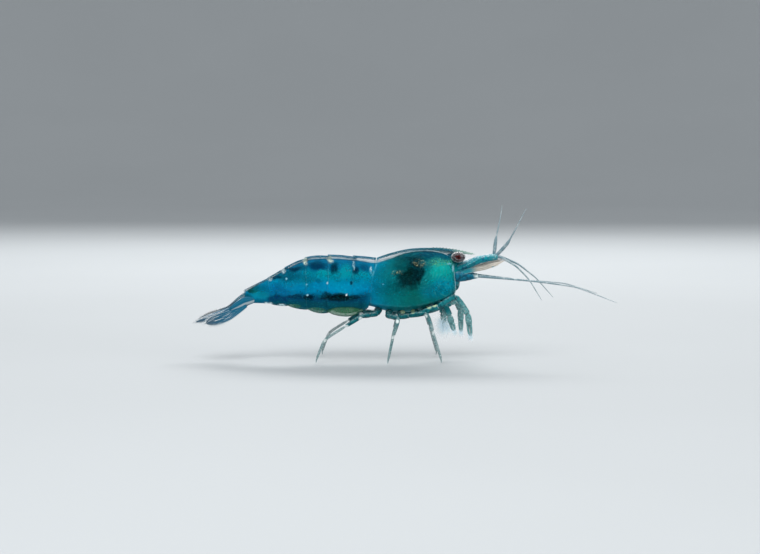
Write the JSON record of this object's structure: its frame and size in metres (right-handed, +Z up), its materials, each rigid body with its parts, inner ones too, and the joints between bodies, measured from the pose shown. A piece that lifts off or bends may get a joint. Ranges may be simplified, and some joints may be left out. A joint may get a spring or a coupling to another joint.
{
  "type": "freshwater dwarf shrimp",
  "caption": "Still, life-size model of a blue dwarf freshwater shrimp standing on its walking legs, with arched tail, open tail fan and long feelers.",
  "frame": {"origin": "bottom centre of the bounding box, feelers included, on the floor that the feet stand on", "axes": "+X to the head, +Y to the animal's left, +Z up"},
  "size_m": [0.0406, 0.0134, 0.0152],
  "materials": {
    "shell": "wet translucent shell",
    "flesh": "soft satin",
    "limbs": "wet translucent shell",
    "fins": "clear and streaked",
    "feelers": "satin",
    "eyes": "gloss"
  },
  "bodies": {
    "root": {"antenna_base_left": "limbs", "antenna_base_right": "limbs", "antenna_left": "feelers", "antenna_right": "feelers", "antenna_scale_left": "fins", "antenna_scale_right": "fins", "antennule_left": "limbs", "antennule_lower_left": "feelers", "antennule_lower_right": "feelers", "antennule_right": "limbs", "antennule_upper_left": "feelers", "antennule_upper_right": "feelers", "carapace": "shell", "eye_left": "eyes", "eye_right": "eyes", "eyestalk_left": "flesh", "eyestalk_right": "flesh", "fan_inner_left": "fins", "fan_inner_right": "fins", "fan_outer_left": "fins", "fan_outer_right": "fins", "head_front": "flesh", "leg_1_left": "limbs", "leg_1_right": "limbs", "leg_2_left": "limbs", "leg_2_right": "limbs", "leg_3_left": "limbs", "leg_3_right": "limbs", "leg_4_left": "limbs", "leg_4_right": "limbs", "leg_5_left": "limbs", "leg_5_right": "limbs", "mouth_leg_left": "limbs", "mouth_leg_right": "limbs", "mouthparts": "flesh", "swimmer_1_left": "fins", "swimmer_1_right": "fins", "swimmer_2_left": "fins", "swimmer_2_right": "fins", "swimmer_3_left": "fins", "swimmer_3_right": "fins", "swimmer_4_left": "fins", "swimmer_4_right": "fins", "swimmer_5_left": "fins", "swimmer_5_right": "fins", "telson": "fins", "tergite_1": "shell", "tergite_2": "shell", "tergite_3": "shell", "tergite_4": "shell", "tergite_5": "shell", "tergite_6": "shell", "thorax": "flesh"}
  },
  "joints": []
}
